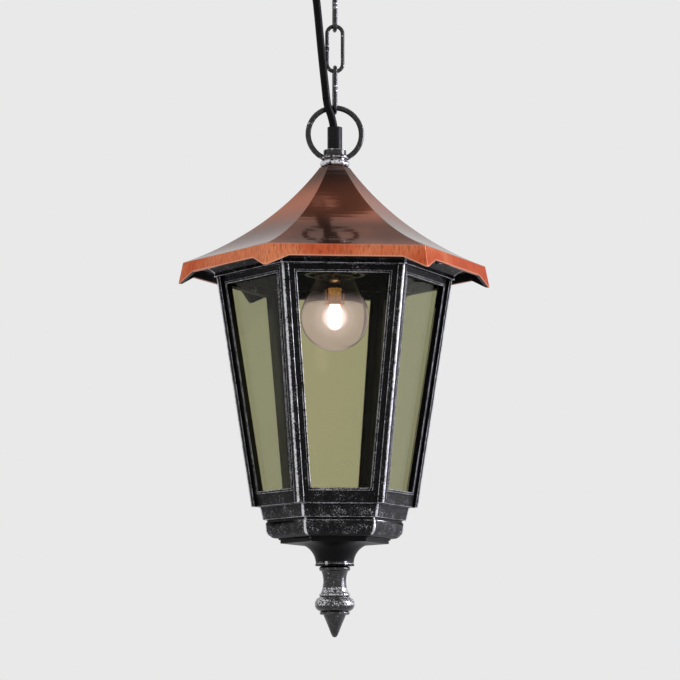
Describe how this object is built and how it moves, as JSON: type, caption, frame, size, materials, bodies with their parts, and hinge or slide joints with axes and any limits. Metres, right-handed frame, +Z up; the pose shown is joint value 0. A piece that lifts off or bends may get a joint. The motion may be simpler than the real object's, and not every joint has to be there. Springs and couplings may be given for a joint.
{
  "type": "pendant lantern",
  "caption": "Hexagonal cast pendant lantern with a hollow-swept copper-coloured roof, tapered glazed cage, turned finial and clear bulb, hung on a short chain from a ceiling rose.",
  "frame": {"origin": "middle of the ceiling bracket's two fixing slots, at the ceiling face", "axes": "+Z up along the chain, -Y out of the flat face nearest the picture's camera"},
  "size_m": [0.2042, 0.177, 0.4875],
  "materials": {
    "zinc_steel": "zinc plated, satin",
    "black_cast": "cast aluminium, black textured paint, high spots rubbed silver",
    "antique_silver": "black with rubbed antique silver edges",
    "copper_paint": "copper-coloured metallic paint with dark brushed shading, glossy lacquer",
    "black_paint": "black textured paint",
    "nylon": "matt black nylon",
    "terminal_plastic": "ivory polyamide",
    "cord_sheath": "matt black cord sheath",
    "smoked_glass": "clear flat glass with a khaki tint",
    "spring_steel": "spring steel, oiled",
    "holder_black": "glossy black moulding",
    "ceramic": "unglazed white ceramic",
    "brass": "rolled brass",
    "bulb_glass": "clear blown glass",
    "nickel": "nickel-plated sheet",
    "copper": "bare copper strip",
    "frosted_glass": "clear quartz, frosted by the light"
  },
  "bodies": {
    "ceiling": {"ceiling_bracket": "zinc_steel", "ceiling_rose": "black_paint", "ceiling_hook": "antique_silver", "hook_nuts": "zinc_steel", "rose_nut": "black_paint", "rose_cord_grip": "nylon", "rose_grip_nut": "nylon", "terminal_block": "terminal_plastic", "cord_upper": "cord_sheath"},
    "link_upper": {"chain_link_upper": "antique_silver"},
    "link_middle": {"chain_link_middle": "antique_silver", "cord_middle_upper": "cord_sheath"},
    "link_lower": {"chain_link_lower": "antique_silver", "cord_middle_lower": "cord_sheath"},
    "lantern": {"hanging_loop": "antique_silver", "cord_grip": "nylon", "threaded_tube": "zinc_steel", "tube_washer": "zinc_steel", "tube_nut": "zinc_steel", "cord_lower": "cord_sheath", "roof": "copper_paint", "cornice": "black_cast", "roof_screws": "zinc_steel", "cage_screws": "zinc_steel", "cage": "black_cast", "pane_front": "smoked_glass", "pane_front_right": "smoked_glass", "pane_back_right": "smoked_glass", "pane_back": "smoked_glass", "pane_back_left": "smoked_glass", "pane_front_left": "smoked_glass", "pane_clips": "spring_steel", "base": "black_cast", "base_screws": "zinc_steel", "finial": "antique_silver", "finial_stud": "zinc_steel", "finial_nut": "zinc_steel", "lampholder_cap": "holder_black", "lampholder_skirt": "holder_black", "lampholder_insert": "ceramic", "lampholder_sleeve": "brass", "bulb_glass": "bulb_glass", "bulb_cap": "nickel", "bulb_stem": "bulb_glass", "bulb_supports": "copper", "bulb_capsule": "frosted_glass"}
  },
  "joints": [
    {"name": "hook_swing", "type": "hinge", "parent": "ceiling", "child": "link_upper", "pos_m": [0, 0, -0.0606], "axis": [1, 0, 0], "range_deg": [-25, 25], "deforming": ["cord_upper"]},
    {"name": "upper_link_swing", "type": "hinge", "parent": "link_upper", "child": "link_middle", "pos_m": [0, 0, -0.0877], "axis": [0, 1, 0], "range_deg": [-25, 25], "deforming": ["cord_middle_upper"]},
    {"name": "middle_link_swing", "type": "hinge", "parent": "link_middle", "child": "link_lower", "pos_m": [0, 0, -0.1155], "axis": [1, 0, 0], "range_deg": [-25, 25], "deforming": ["cord_middle_lower"]},
    {"name": "ring_swing", "type": "hinge", "parent": "link_lower", "child": "lantern", "pos_m": [0, 0, -0.1433], "axis": [0, 1, 0], "range_deg": [-25, 25], "deforming": ["cord_lower"]}
  ]
}
